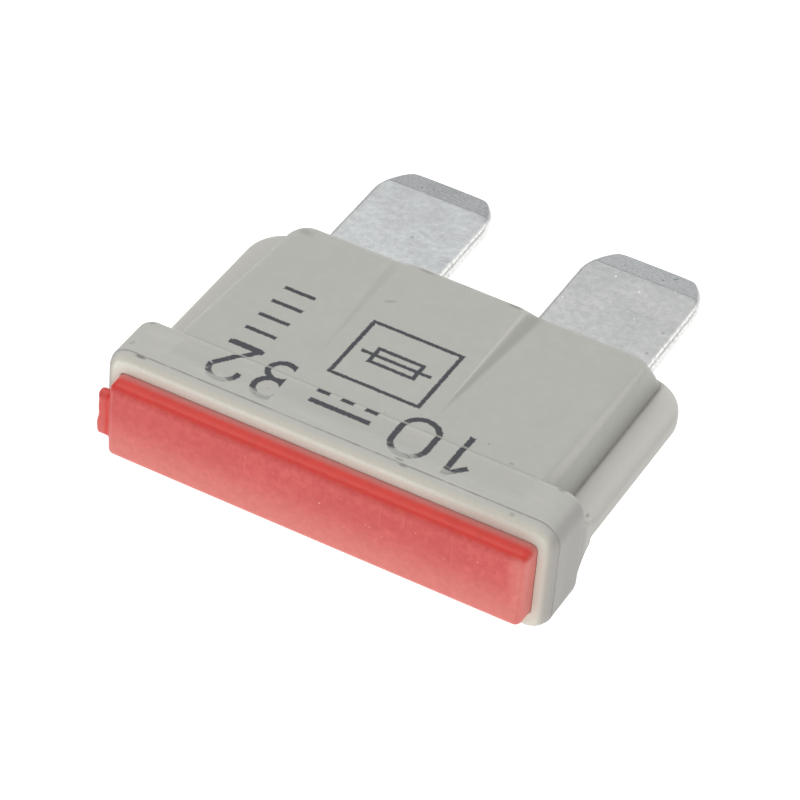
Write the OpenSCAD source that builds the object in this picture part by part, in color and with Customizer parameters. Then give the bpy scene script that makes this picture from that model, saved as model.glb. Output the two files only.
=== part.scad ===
// Automotive blade fuse: a hollow moulded housing, a coloured end cap and a one-piece fuse element.
// The fuse lies on its broad side: X runs across it, Y from the cap to the blade tips, Z is up.
// The modules measure Y from the front of the rim and Z from the plane of the blades.

/* [Collar] */
// Width of the collar around the head
collar_w = 19.1; // [18.6:0.1:19.6]
// Thickness of the collar, broad face to broad face
collar_t = 5.1; // [4.9:0.05:5.4]
// Depth of the collar, from the front of the rim to its back
collar_d = 2.5; // [2.2:0.1:3]
// Radius of the collar's four corners
collar_r = 0.95; // [0.7:0.05:1.2]
// Radius that softens the front edge of the rim
rim_r = 0.43; // [0.25:0.01:0.5]
// Radius that softens the back edge of the collar
collar_back_r = 0.2; // [0.1:0.05:0.3]

/* [Block] */
// Width of the block where it stands on the flange
block_w = 16.6; // [16.4:0.1:17]
// Thickness of the block at the collar
block_t = 4.96; // [4.8:0.02:5]
// Length of the broad face, measured from the front of the rim
block_len = 11.12; // [10.8:0.02:11.4]
// Radius along the long edges of the broad face
block_r = 0.85; // [0.6:0.05:1]
// Radius of the block's corners at the blade end, seen from above
block_corner_r = 0.8; // [0.5:0.05:1.2]
// Lean of the block's side walls, in degrees
side_lean = 4.5; // [2:0.5:6]
// Slope of the broad face towards the blades, in degrees
face_slope = 0.7; // [0.5:0.1:1.5]
// Length of the lead-in slope at the blade end
lead_in = 0.8; // [0.5:0.05:1]

/* [Centre panel] */
// Width of the raised centre panel on the broad face
panel_w = 5.36; // [4.8:0.02:6]
// Height of the panel's edge at the blade end
panel_step = 0.28; // [0.1:0.02:0.3]
// Width of the ramp down each side of the panel, at the blade end
panel_ramp = 0.6; // [0.3:0.05:0.8]
// Radius of the panel's corners at the blade end, along the foot of its ramps
panel_corner_r = 1.2; // [1:0.1:2]
// Where the panel's edge starts to rise, measured from the front of the rim
panel_start = 3.6; // [3.5:0.1:6]

/* [Flange] */
// Width of the flange that stands out on both sides of the block
flange_w = 18.9; // [18.4:0.1:19.1]
// Thickness of the flange
flange_t = 1.3; // [1.1:0.05:1.6]
// Radius that rounds the flange's edge
flange_edge_r = 0.5; // [0.3:0.05:0.54]
// Radius of the flange's corners at the blade end
flange_corner_r = 1.8; // [1.5:0.1:2.5]
// End of the housing at the blades, measured from the front of the rim
housing_len = 12.3; // [12.2:0.05:12.7]
// Radius of the fillet between the flange and the back of the collar
root_r = 1.1; // [0.3:0.05:1.2]

/* [Cavity] */
// Thickness of the hollow around the fusible link
cavity_t = 2.6; // [2.2:0.1:2.8]
// Thickness of the wall that the blades pass through
end_wall = 1.1; // [0.9:0.05:1.3]

/* [End cap] */
// Width of the rim beside each end of the cap
rim_side = 0.69; // [0.5:0.01:0.9]
// Width of the rim above and below the cap
rim_face = 0.8; // [0.6:0.01:0.9]
// How far the cap stands out of the rim
cap_proud = 1; // [0.6:0.02:1.1]
// Depth of the cap's seat in the rim
cap_seat = 1.3; // [1.1:0.05:1.6]
// Radius of the cap's four corners
cap_r = 0.5; // [0.45:0.05:0.7]
// Radius that softens the cap's front edge
cap_edge_r = 0.35; // [0.15:0.05:0.4]
// Length of the tongue that holds the heads of the blades
tongue_len = 1.1; // [0.9:0.1:1.3]
// Depth of the grooves in the tongue
groove_d = 0.5; // [0.3:0.05:0.7]
// Height of the gate stub on the left end of the cap
gate_h = 2.1; // [1.6:0.1:2.6]
// Thickness of the gate stub, front to back
gate_t = 0.56; // [0.4:0.02:0.6]
// How far the gate stub stands out of the cap's end
gate_out = 0.56; // [0.4:0.02:0.68]

/* [Blades] */
// Width of each blade
blade_w = 5.15; // [5:0.05:5.3]
// Thickness of the blades
blade_t = 0.65; // [0.6:0.05:0.8]
// Distance between the centre lines of the blades
blade_pitch = 9.4; // [9.3:0.05:9.5]
// Radius along the blades' long edges
blade_edge_r = 0.22; // [0.1:0.02:0.28]
// Length of blade outside the housing
blade_out = 6.55; // [6:0.05:7]
// Extra width of each blade inside the housing, on each edge
shoulder = 0.2; // [0.1:0.05:0.3]
// Length of the coined bevel at the tip
bevel_len = 1.24; // [0.8:0.01:1.3]
// Thickness left at the edge of the tip
tip_t = 0.26; // [0.2:0.02:0.4]
// Width of the cut corner at the tip
corner_cut_w = 0.85; // [0.6:0.05:1.2]
// Length of the cut corner at the tip
corner_cut_l = 1.35; // [1.1:0.05:1.6]

/* [Fusible link] */
// Width of the link strip
link_w = 0.8; // [0.6:0.05:1]
// Thickness of the link strip
link_t = 0.25; // [0.2:0.05:0.4]
// Radius of the link's two bends, to the middle of the strip
link_r = 1; // [0.8:0.05:1.1]
// Radius of the notches that make the weak spot
notch_r = 0.22; // [0.1:0.02:0.25]

/* [Fits] */
// Clearance between pieces that fit together
fit = 0.05; // [0.03:0.01:0.08]

/* [Hidden] */
$fn = 64;
// Facets of a full circle where shapes are blended
blend_fn = 32;
// Overlap that joins solids, and reach of a cut past a face
over = 0.3;
// Thickness of a slice that a blend runs through
slice = 0.01;
// Angles of the slices that round an edge
round_steps = [0, 22.5, 45, 67.5, 90];

cap_w = collar_w - 2 * rim_side;
cap_h = collar_t - 2 * rim_face;
cavity_w = blade_pitch + blade_w + 2 * shoulder + 2 * fit;
cavity_end = housing_len - end_wall;
tip_y = housing_len + blade_out;
head_y = cap_seat + tongue_len - groove_d + fit;
// Height of the centre panel's surface, and of the surface beside it, at the end of the broad face
panel_z_end = block_t / 2 - (block_len - collar_d) * tan(face_slope);
side_z_end = panel_z_end - panel_step;
panel_z_start = block_t / 2 - (panel_start - collar_d) * tan(face_slope);
// Slope of the surface beside the panel
side_slope = atan((panel_z_start - side_z_end) / (block_len - panel_start));
// Middle of the link, halfway between the blades' heads and the end wall
link_y = (head_y + cavity_end) / 2;
// Middle of the whole fuse along Y, which lies on the origin
mid_y = (tip_y - cap_proud) / 2;

// Moves a piece from the working planes to its place on the table
module at_rest() {
    translate([0, -mid_y, collar_t / 2]) children();
}

// Draws a flat shape of X and Z as a plate between two values of Y
module plate_y(from, to) {
    translate([0, to, 0]) rotate([90, 0, 0]) linear_extrude(to - from) children();
}

module rounded_rect(w, h, r) {
    square([w - 2 * r, h], center = true);
    square([w, h - 2 * r], center = true);
    for (sx = [-1, 1], sy = [-1, 1])
        translate([sx * (w / 2 - r), sy * (h / 2 - r)]) circle(r);
}

// A plan outline that starts inside the collar and ends at Y = end with two rounded corners
module plan_outline(w, end, r) {
    start = collar_d / 2;
    translate([-w / 2, start]) square([w, end - r - start]);
    translate([r - w / 2, start]) square([w - 2 * r, end - start]);
    for (side = [-1, 1]) translate([side * (w / 2 - r), end - r]) circle(r);
}

// Section of the collar, drawn smaller all round by inset
module collar_section(inset) {
    w = collar_w - 2 * inset;
    h = collar_t - 2 * inset;
    rounded_rect(w, h, collar_r - inset, $fn = blend_fn);
}

// The collar: a rounded bar with soft front and back edges
module collar() {
    hull() {
        for (a = round_steps) {
            front_in = rim_r * (1 - sin(a));
            front_y = rim_r * (1 - cos(a));
            plate_y(front_y, front_y + slice) collar_section(front_in);
            back_in = collar_back_r * (1 - sin(a));
            back_y = collar_d - collar_back_r * (1 - cos(a));
            plate_y(back_y - slice, back_y) collar_section(back_in);
        }
    }
}

// Section of the block's upper half: leaning sides that run into rounded top edges
module block_section() {
    top_z = panel_z_start;
    arc_z = top_z - block_r;
    touch_z = arc_z + block_r * sin(side_lean);
    touch_x = block_w / 2 - touch_z * tan(side_lean);
    arc_x = touch_x - block_r * cos(side_lean);
    polygon([
        [-block_w / 2, 0], [block_w / 2, 0], [touch_x, touch_z],
        [arc_x, top_z], [-arc_x, top_z], [-touch_x, touch_z]
    ]);
    for (side = [-1, 1]) translate([side * arc_x, arc_z]) circle(block_r);
}

// Side view of the block's upper half: the broad face, then the lead-in slope towards the blades
module block_side() {
    start_y = collar_d - over;
    start_z = block_t / 2 + over * tan(face_slope);
    // The lead-in bends once, so that it starts flat and ends steep
    bend_y = block_len + 0.7 * lead_in;
    bend_z = 0.6 * panel_z_end;
    polygon([
        [start_y, 0], [block_len + lead_in, 0], [block_len + lead_in, flange_t / 2],
        [bend_y, bend_z], [block_len, panel_z_end], [start_y, start_z]
    ]);
}

// The block's upper half: a rounded bar and the centre panel, cut to the block's plan and side view
module block_half() {
    intersection() {
        // The long form of the block, tilted to the slope of the surface beside the panel
        union() {
            translate([0, panel_start, 0]) rotate([-side_slope, 0, 0])
                translate([0, -panel_start, 0]) plate_y(0, housing_len + over) block_section();
            panel_prism();
        }
        linear_extrude(collar_t) plan_outline(block_w, block_len + lead_in, block_corner_r);
        rotate([90, 0, 90]) linear_extrude(collar_w, center = true) block_side();
    }
}

// The raised panel: a prism with ramps down both sides, cut to height by the block's side view
module panel_prism() {
    top_x = panel_w / 2 - min(over * panel_ramp / panel_step, panel_w / 4);
    top_z = panel_z_start + over;
    foot_x = panel_w / 2 + 2 * panel_ramp;
    foot_z = panel_z_start - 2 * panel_step;
    intersection() {
        translate([0, panel_start, 0]) rotate([-face_slope, 0, 0]) translate([0, -panel_start, 0])
            plate_y(collar_d - over, housing_len)
                polygon([
                    [-foot_x, foot_z], [foot_x, foot_z], [panel_w / 2, panel_z_start],
                    [top_x, top_z], [-top_x, top_z], [-panel_w / 2, panel_z_start]
                ]);
        // The end of this outline lies just past the broad face, so that only the corners are cut
        linear_extrude(collar_t)
            plan_outline(panel_w + 2 * panel_ramp, block_len + lead_in / 4, panel_corner_r);
    }
}

// The flange: a thin plate with a rounded edge that stands out of the block on three sides
module flange() {
    hull() {
        for (a = round_steps, side = [-1, 1]) {
            inset = flange_edge_r * (1 - cos(a));
            level = flange_t / 2 - flange_edge_r * (1 - sin(a));
            w = flange_w - 2 * inset;
            end = housing_len - inset;
            translate([0, 0, side * level - slice / 2]) linear_extrude(slice)
                plan_outline(w, end, flange_corner_r - inset, $fn = 2 * blend_fn);
        }
    }
}

// The fillets where the flange runs into the back of the collar
module root_fillets() {
    fillet_w = flange_w - flange_edge_r;
    for (side = [0, 1]) mirror([0, 0, side])
        translate([0, collar_d, flange_t / 2]) rotate([90, 0, 90])
            linear_extrude(fillet_w, center = true) difference() {
                translate([-over, -over]) square(root_r + over);
                translate([root_r, root_r]) circle(root_r);
            }
}

module housing() {
    color("#b3b4ac") at_rest() difference() {
        union() {
            collar();
            flange();
            root_fillets();
            for (side = [0, 1]) mirror([0, 0, side]) block_half();
        }
        // Seat of the end cap in the rim
        plate_y(-over, cap_seat) rounded_rect(cap_w + 2 * fit, cap_h + 2 * fit, cap_r + fit);
        // Hollow for the fusible link
        translate([-cavity_w / 2, 0, -cavity_t / 2]) cube([cavity_w, cavity_end, cavity_t]);
        // Slots that the blades pass through
        slot_w = blade_w + 2 * fit;
        slot_t = blade_t + 2 * fit;
        for (side = [-1, 1])
            translate([side * blade_pitch / 2 - slot_w / 2, cavity_end - over, -slot_t / 2])
                cube([slot_w, end_wall + 2 * over, slot_t]);
    }
}

// The bar of the cap: its proud front has a soft edge
module cap_bar() {
    hull() {
        for (a = round_steps) {
            inset = cap_edge_r * (1 - sin(a));
            front_y = cap_edge_r * (1 - cos(a)) - cap_proud;
            plate_y(front_y, front_y + slice)
                rounded_rect(cap_w - 2 * inset, cap_h - 2 * inset, cap_r - inset, $fn = blend_fn);
        }
        plate_y(cap_seat - slice, cap_seat) rounded_rect(cap_w, cap_h, cap_r, $fn = blend_fn);
    }
}

// The gate stub: what is left of the runner, on the left end of the proud bar
module gate_stub() {
    w = gate_out + over;
    plate_y(-(cap_proud + gate_t) / 2, (gate_t - cap_proud) / 2)
        translate([over - cap_w / 2 - w / 2, 0]) rounded_rect(w, gate_h, gate_t / 2);
}

module end_cap() {
    tongue_w = cavity_w - 2 * fit;
    tongue_t = cavity_t - 2 * fit;
    tongue_end = cap_seat + tongue_len;
    groove_w = blade_w + 2 * (shoulder + over);
    groove_t = blade_t + 2 * fit;
    color("#c9383a") at_rest() difference() {
        union() {
            cap_bar();
            gate_stub();
            translate([-tongue_w / 2, cap_seat - over, -tongue_t / 2])
                cube([tongue_w, tongue_len + over, tongue_t]);
        }
        // Grooves that hold the heads of the blades
        for (side = [-1, 1])
            translate([side * blade_pitch / 2 - groove_w / 2, tongue_end - groove_d, -groove_t / 2])
                cube([groove_w, groove_d + over, groove_t]);
    }
}

// Outline of a blade's tip, with both corners cut by cut_w and cut_l
module tip_outline(from, tip, cut_w, cut_l) {
    side_x = blade_w / 2;
    end_x = side_x - cut_w;
    // Each cut bulges a little halfway along
    bulge_x = side_x - 0.45 * cut_w;
    bulge_y = tip - 0.4 * cut_l;
    polygon([
        [-side_x, from], [side_x, from], [side_x, tip - cut_l], [bulge_x, bulge_y],
        [end_x, tip], [-end_x, tip], [-bulge_x, bulge_y], [-side_x, tip - cut_l]
    ]);
}

// Section of a blade, with rounded long edges
module blade_section() {
    rounded_rect(blade_w, blade_t, blade_edge_r);
}

// One blade: a broad head inside the housing, a plain contact outside, and a coined tip
module blade() {
    head_w = blade_w + 2 * shoulder;
    tip_from = tip_y - 2 * corner_cut_l;
    // The bevel keeps this share of the cut corners at the blade's faces
    share = 0.6;
    translate([-head_w / 2, head_y, -blade_t / 2]) cube([head_w, cavity_end - head_y, blade_t]);
    plate_y(cavity_end - over, tip_from) blade_section();
    intersection() {
        hull() {
            linear_extrude(tip_t, center = true)
                tip_outline(tip_from - over, tip_y, corner_cut_w, corner_cut_l);
            linear_extrude(blade_t, center = true)
                tip_outline(tip_from - over, tip_y - bevel_len, share * corner_cut_w, share * corner_cut_l);
        }
        plate_y(tip_from - over, tip_y + over) blade_section();
    }
}

// One half ring of the link strip, bulging to the given side
module half_ring(y, side) {
    translate([0, y]) difference() {
        circle(link_r + link_w / 2);
        circle(link_r - link_w / 2);
        translate([side > 0 ? -2 * link_r : 0, -2 * link_r]) square([2 * link_r, 4 * link_r]);
    }
}

// The link: an S-shaped strip between the blades, necked in the middle where it melts first
module fusible_link() {
    reach = blade_pitch / 2 - blade_w / 2 - shoulder + over;
    bend = 2 * link_r;
    linear_extrude(link_t, center = true) difference() {
        union() {
            half_ring(link_y + link_r, 1);
            half_ring(link_y - link_r, -1);
            translate([-reach, link_y + bend - link_w / 2]) square([reach + over, link_w]);
            translate([-over, link_y - bend - link_w / 2]) square([reach + over, link_w]);
        }
        for (side = [-1, 1]) translate([0, link_y + side * link_w / 2]) circle(notch_r);
    }
}

module fuse_element() {
    color("#c3c6c8") at_rest() {
        for (side = [-1, 1]) translate([side * blade_pitch / 2, 0, 0]) blade();
        fusible_link();
    }
}

housing();
end_cap();
fuse_element();
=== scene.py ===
# %% [markdown]
# A plug-in blade fuse, dressed for its portrait.
#
# The fuse has two plastic mouldings and one stamping: a grey housing, a red cap that closes its head, and a
# metal element with two blades and the thin link that melts. The packed model gives their true sizes. This
# lesson makes finer meshes for them, with the soft edges, the coined blade tips and the printed marks that
# the real ones have, and gives each its finish. Lengths are in millimetres until a mesh is made.

# %% Load the frame
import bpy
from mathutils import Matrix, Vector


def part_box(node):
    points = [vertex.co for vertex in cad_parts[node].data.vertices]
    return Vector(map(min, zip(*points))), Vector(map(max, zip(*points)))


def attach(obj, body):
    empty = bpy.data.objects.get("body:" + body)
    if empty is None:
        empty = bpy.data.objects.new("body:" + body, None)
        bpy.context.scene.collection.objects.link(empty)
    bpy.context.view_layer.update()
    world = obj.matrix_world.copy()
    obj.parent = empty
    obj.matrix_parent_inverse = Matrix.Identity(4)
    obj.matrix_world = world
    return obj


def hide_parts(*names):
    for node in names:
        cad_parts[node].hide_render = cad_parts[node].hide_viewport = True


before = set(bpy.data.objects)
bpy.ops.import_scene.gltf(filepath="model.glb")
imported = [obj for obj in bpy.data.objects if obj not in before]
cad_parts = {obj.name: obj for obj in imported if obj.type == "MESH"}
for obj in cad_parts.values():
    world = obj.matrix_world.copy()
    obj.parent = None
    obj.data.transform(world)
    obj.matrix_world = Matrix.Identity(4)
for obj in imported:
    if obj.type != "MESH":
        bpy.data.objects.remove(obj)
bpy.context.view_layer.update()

import math

import bpy
import numpy as np
from mathutils import Matrix, Vector

MM = 0.001


# %% [markdown]
# Every size below is measured from two planes that mean something on the fuse: the front of the housing's
# rim, and the plane through the middle of the blades. The frame says where they are, so nothing has to be
# fitted afterwards.

# %% Find the working planes
housing_low, housing_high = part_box("housing")
cap_low, cap_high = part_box("end_cap")
element_low, element_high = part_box("fuse_element")
RIM_Y = housing_low.y / MM
BLADE_Z = (element_low.z + element_high.z) / 2 / MM

COLLAR_W = (housing_high.x - housing_low.x) / MM
COLLAR_T = (housing_high.z - housing_low.z) / MM
HOUSING_LEN = (housing_high.y - housing_low.y) / MM
TIP_Y = element_high.y / MM - RIM_Y
BLADE_T = (element_high.z - element_low.z) / MM
CAP_PROUD = RIM_Y - cap_low.y / MM
# The dressed cap is this much lower than the solid
CAP_LOWER = 0.04
CAP_H = (cap_high.z - cap_low.z) / MM - CAP_LOWER
GATE_END = -cap_low.x / MM
print(f"collar {COLLAR_W:.2f} x {COLLAR_T:.2f}, housing {HOUSING_LEN:.2f} long, blades end at {TIP_Y:.2f}")

# %% [markdown]
# A moulded part has a small radius on every edge and in every corner. A bevel on a boolean result tends to
# fail where several radii meet, and a subdivision cage needs loops beside each of them. A distance field
# avoids both: each form is a formula that gives the distance to its surface, negative inside, and two forms
# are joined or cut with a radius that is simply a number.

# %% Formulas for rounded solids
def round_and(a, b, r):
    """What lies in both forms. Their common edge is rounded with radius r."""
    return np.minimum(np.maximum(a, b), -r) + np.hypot(np.maximum(a + r, 0), np.maximum(b + r, 0))


def round_or(a, b, r):
    """What lies in either form. Their common corner is filled with radius r."""
    return np.maximum(np.minimum(a, b), r) - np.hypot(np.maximum(r - a, 0), np.maximum(r - b, 0))


def soft_max(a, b, k):
    """The larger of two numbers, with the crease between them softened over about k."""
    return (a + b + np.sqrt((a - b) ** 2 + k * k)) / 2


def soft_min(a, b, k):
    return -soft_max(-a, -b, k)


def ease(v, low, high):
    """0 below low, 1 above high and a smooth step between them."""
    t = np.clip((v - low) / (high - low), 0, 1)
    return t * t * (3 - 2 * t)


def rounded_rect(u, v, width, height, r):
    """Distance to a rectangle with rounded corners."""
    du = np.abs(u) - width / 2 + r
    dv = np.abs(v) - height / 2 + r
    return np.hypot(np.maximum(du, 0), np.maximum(dv, 0)) + np.minimum(np.maximum(du, dv), 0) - r


def slope(v, u, start, end):
    """Distance to the line from one point (u, v) up to another in a side view, positive on its right."""
    du, dv = end[0] - start[0], end[1] - start[1]
    return ((u - start[0]) * dv - (v - start[1]) * du) / math.hypot(du, dv)


print(f"where two walls meet with radius 0.5, the sharp corner lies {round_and(0, 0, 0.5):.3f} outside")

# %% [markdown]
# The formula becomes a mesh by a surface net. Space is cut into boxes by three sets of planes. The boxes
# are small where the form bends and long where it is flat, so a fuse keeps crisp edges with few faces.

# %% Cutting planes and the gradient
CORNERS = np.array([(i, j, k) for i in (0, 1) for j in (0, 1) for k in (0, 1)])
EDGES = [(a, b) for a in range(8) for b in range(a + 1, 8) if abs(CORNERS[a] - CORNERS[b]).sum() == 1]
GRADIENT_STEP = 0.004


def ticks(*stretches):
    """Cutting planes from stretches of (start, end, step)."""
    found = []
    for start, end, step in stretches:
        count = max(1, round((end - start) / step))
        found.extend(np.linspace(start, end, count, endpoint=False))
    return np.array(found + [stretches[-1][1]])


def both_sides(half):
    """The planes of one half and their mirror images."""
    return np.concatenate([-half[::-1], half[half > 0]])


def gradient(field, p):
    """Direction in which the distance grows, at the points p."""
    steps = np.eye(3) * GRADIENT_STEP
    rows = [field(*(p + s).T) - field(*(p - s).T) for s in steps]
    found = np.stack(rows, axis=1)
    return found / np.maximum(np.linalg.norm(found, axis=1, keepdims=True), 1e-9)


print(f"a box has {len(CORNERS)} corners and {len(EDGES)} edges")

# %% [markdown]
# Each box that the surface crosses gets one vertex, in the middle of the places where its edges are cut,
# and neighbours are joined to quads. The vertex is then moved along the gradient onto the surface itself.

# %% The surface net
PULLS = 4


def crossed_middles(value, planes, cells):
    """For each cell the mean of the points where the surface cuts its edges."""
    where = cells[:, None, :] + CORNERS[None]
    place = np.stack([planes[a][where[:, :, a]] for a in range(3)], axis=2)
    amount = value[where[:, :, 0], where[:, :, 1], where[:, :, 2]]
    total = np.zeros((len(cells), 3))
    crossings = np.zeros((len(cells), 1))
    for a, b in EDGES:
        cut = (amount[:, a] < 0) != (amount[:, b] < 0)
        share = amount[cut, a] / (amount[cut, a] - amount[cut, b])
        total[cut] += place[cut, a] + share[:, None] * (place[cut, b] - place[cut, a])
        crossings[cut] += 1
    return total / crossings


def surface_net(field, xs, ys, zs):
    """Vertices on the field's zero surface and the quads between them."""
    value = field(xs[:, None, None], ys[None, :, None], zs[None, None, :])
    inside = value < 0
    shape = [n - 1 for n in value.shape]
    corner_inside = [inside[i:i + shape[0], j:j + shape[1], k:k + shape[2]] for i, j, k in CORNERS]
    count = sum(c.astype(np.int8) for c in corner_inside)
    cells = np.argwhere((count > 0) & (count < 8))
    number = np.full(shape, -1)
    number[tuple(cells.T)] = np.arange(len(cells))
    points = crossed_middles(value, (xs, ys, zs), cells)
    for _ in range(PULLS):
        points -= field(*points.T)[:, None] * gradient(field, points)

    quads = []
    for axis in range(3):
        u, v = (axis + 1) % 3, (axis + 2) % 3
        before = np.take(inside, range(value.shape[axis] - 1), axis)
        after = np.take(inside, range(1, value.shape[axis]), axis)
        at = np.argwhere(before != after)
        at = at[(at[:, u] > 0) & (at[:, v] > 0) & (at[:, u] < shape[u]) & (at[:, v] < shape[v])]
        step_u, step_v = np.eye(3, dtype=int)[u], np.eye(3, dtype=int)[v]
        ring = [at - step_u - step_v, at - step_v, at, at - step_u]
        faces = np.stack([number[tuple(r.T)] for r in ring], axis=1)
        outwards = before[tuple(at.T)]
        faces[~outwards] = faces[~outwards, ::-1]
        quads.append(faces)
    return points, np.concatenate(quads)


test_planes = np.linspace(-1.2, 1.2, 13)
test_points, test_quads = surface_net(
    lambda x, y, z: np.sqrt(x * x + y * y + z * z) - 1, test_planes, test_planes, test_planes)
test_error = np.abs(np.linalg.norm(test_points, axis=1) - 1).max()
print(f"a test ball of radius 1 gets {len(test_quads)} quads, its points at most {test_error:.1e} off")

# %% [markdown]
# The same gradient gives exact shading normals. The field also says how much the surface bends: its mean
# a little way around a point is higher beside an edge and lower in a corner. The mesh keeps that as an
# attribute, so that a finish can paint a highlight, with some polish, on the edges and painted shade in the
# corners.

# %% From points to a piece
BEND_REACH = 0.1


def to_frame(points):
    """Points in millimetres from the working planes, as metres in the frame."""
    return (points + (0, RIM_Y, BLADE_Z)) * MM


def from_frame(points):
    return points / MM - (0, RIM_Y, BLADE_Z)


def mesh_points(mesh):
    found = np.zeros(len(mesh.vertices) * 3, np.float32)
    mesh.vertices.foreach_get("co", found)
    return found.reshape(-1, 3).astype(float)


def shade_from_field(mesh, field):
    """Gives a mesh the field's own normals, and its bend: above 0 on edges, below 0 in corners."""
    points = from_frame(mesh_points(mesh))
    mesh.shade_smooth()
    mesh.normals_split_custom_set_from_vertices(gradient(field, points))
    bend = -6 * field(*points.T)
    for axis in np.eye(3) * BEND_REACH:
        bend = bend + field(*(points + axis).T) + field(*(points - axis).T)
    attribute = mesh.attributes.new("bend", "FLOAT", "POINT")
    attribute.data.foreach_set("value", np.clip(bend / BEND_REACH, -1, 1).astype(np.float32))


def new_piece(name, points, edges, faces):
    mesh = bpy.data.meshes.new(name)
    mesh.from_pydata(points, edges, faces)
    mesh.validate()
    piece = bpy.data.objects.new(name, mesh)
    bpy.context.scene.collection.objects.link(piece)
    return piece


def moulded(name, field, xs, ys, zs):
    """A piece from a distance field."""
    points, quads = surface_net(field, xs, ys, zs)
    piece = new_piece(name, to_frame(points), [], quads)
    shade_from_field(piece.data, field)
    print(f"{name}: {len(quads) * 2} triangles")
    return piece


print("the working planes meet at", np.round(to_frame(np.zeros(3)) / MM, 3), "in the frame")

# %% [markdown]
# The housing is one moulding. A collar with a soft front rim surrounds the head, and a fine step runs
# around the rim where the halves of the mould met. Behind it stands the block, whose broad faces slope
# towards the blades and carry a slightly raised centre panel. A thin flange with a round edge stands out of
# the block at mid height. Inside are the seat of the cap, the hollow for the link and two slots.

# %% Sizes of the housing
COLLAR_D = 2.5
COLLAR_R = 0.95
COLLAR_BACK_R = 0.2
RIM_R = 0.43
MOULD_STEP = 0.035
MOULD_STEP_HALF = 0.03
GATE_OUT = 0.56
CAP_W = 2 * (GATE_END - GATE_OUT)
CAP_R = 0.3
SEAT_DEPTH = 1.3
FIT = 0.05
# The cap is a press fit, so its gap in the rim is hardly open
PRESS_FIT = 0.004

FLANGE_W = 18.9
FLANGE_T = 1.3
FLANGE_CORNER_R = 1.85
FLANGE_EDGE_R = 0.5
ROOT_R = 1.1
ROOT_INSET = 0.04
ROOT_TAPER = 0.06
ROOT_EDGE_R = 0.15
# Radii in the corners where the block and the flange meet the rest
BLOCK_JOINT_R = 0.07
FLANGE_JOINT_R = 0.06

FOOT_W = 16.78
SIDE_LEAN = math.tan(math.radians(12))
FACE_SLOPE = math.tan(math.radians(0.7))
BLOCK_T = 4.96
BLOCK_LEN = 11.12
FOOT_CORNER_R = 0.45
TOP_CORNER_R = 0.8
LONG_EDGE_R = 0.4
SOFT_CORNER_R = 0.85
SOFT_EDGE_R = 0.6
SOFT_TAPER = 0.035
END_EDGE_R = 0.25
# The end wall leans twice: from its foot at the flange to a knee, and from there to the broad face
END_KNEE = (BLOCK_LEN + 0.56, 1.4)
END_FOOT = (BLOCK_LEN + 0.8, FLANGE_T / 2)

PANEL_W = 5.36
PANEL_STEP = 0.28
PANEL_START = 3.6
PANEL_RAMP = 0.6
PANEL_CORNER_R = 1.1

CAVITY_W = 15.05
CAVITY_T = 2.6
CAVITY_END = HOUSING_LEN - 1.1
CAVITY_CORNER_R = 0.1
BLADE_W = 5.15
BLADE_PITCH = 9.4
SLOT_CORNER_R = 0.15
SLOT_OVERLAP = 0.3
HOLLOW_EDGE_R = 0.02
print(f"cap {CAP_W:.2f} x {CAP_H:.2f}, hollow {CAVITY_W:.2f} x {CAVITY_T:.2f}, ending at {CAVITY_END:.2f}")

# %% [markdown]
# The collar is a rounded rectangle that runs back from the rim. The broad face of the block is a height
# over the plan: a gentle slope, from which the parts beside the panel drop away over a short ramp.

# %% The collar and the broad face as formulas
# The block and the flange start this far behind the rim, inside the collar
INSIDE_COLLAR = 1.0
# Long enough to reach out of the front, so that only the other end of a rectangle shows
REACH = 40.0


def collar(x, y, z):
    section = rounded_rect(x, z, COLLAR_W, COLLAR_T, COLLAR_R)
    section = section + MOULD_STEP * (1 - ease(y, RIM_R - MOULD_STEP_HALF, RIM_R + MOULD_STEP_HALF))
    return round_and(round_and(section, -y, RIM_R), y - COLLAR_D, COLLAR_BACK_R)


def broad_face(x, y):
    """Height of the broad face above the blade plane: the panel in the middle, lower beside it."""
    panel_z = BLOCK_T / 2 - (y - COLLAR_D) * FACE_SLOPE
    drop = PANEL_STEP / (BLOCK_LEN - PANEL_START) * soft_max(y - PANEL_START, 0, 0.6)
    end = BLOCK_LEN + PANEL_RAMP / 2
    beside = rounded_rect(x, y - end + REACH / 2, PANEL_W, REACH, PANEL_CORNER_R)
    ramp = PANEL_STEP / PANEL_RAMP * soft_max(beside, 0, 0.06)
    return panel_z - soft_min(drop, ramp, 0.02)


for place, y in (("the collar", COLLAR_D), ("the blade end", BLOCK_LEN)):
    print(f"the panel is {2 * broad_face(0, y):.2f} thick at {place}")

# %% [markdown]
# The block's corners at the blade end are cones, tight at the foot and wide at the top. Seen from either
# broad face the left edge and corner are softer than the right ones and lean inwards. The flange is a
# plate, with a fillet that leads from its flat up the back of the collar.

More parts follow.
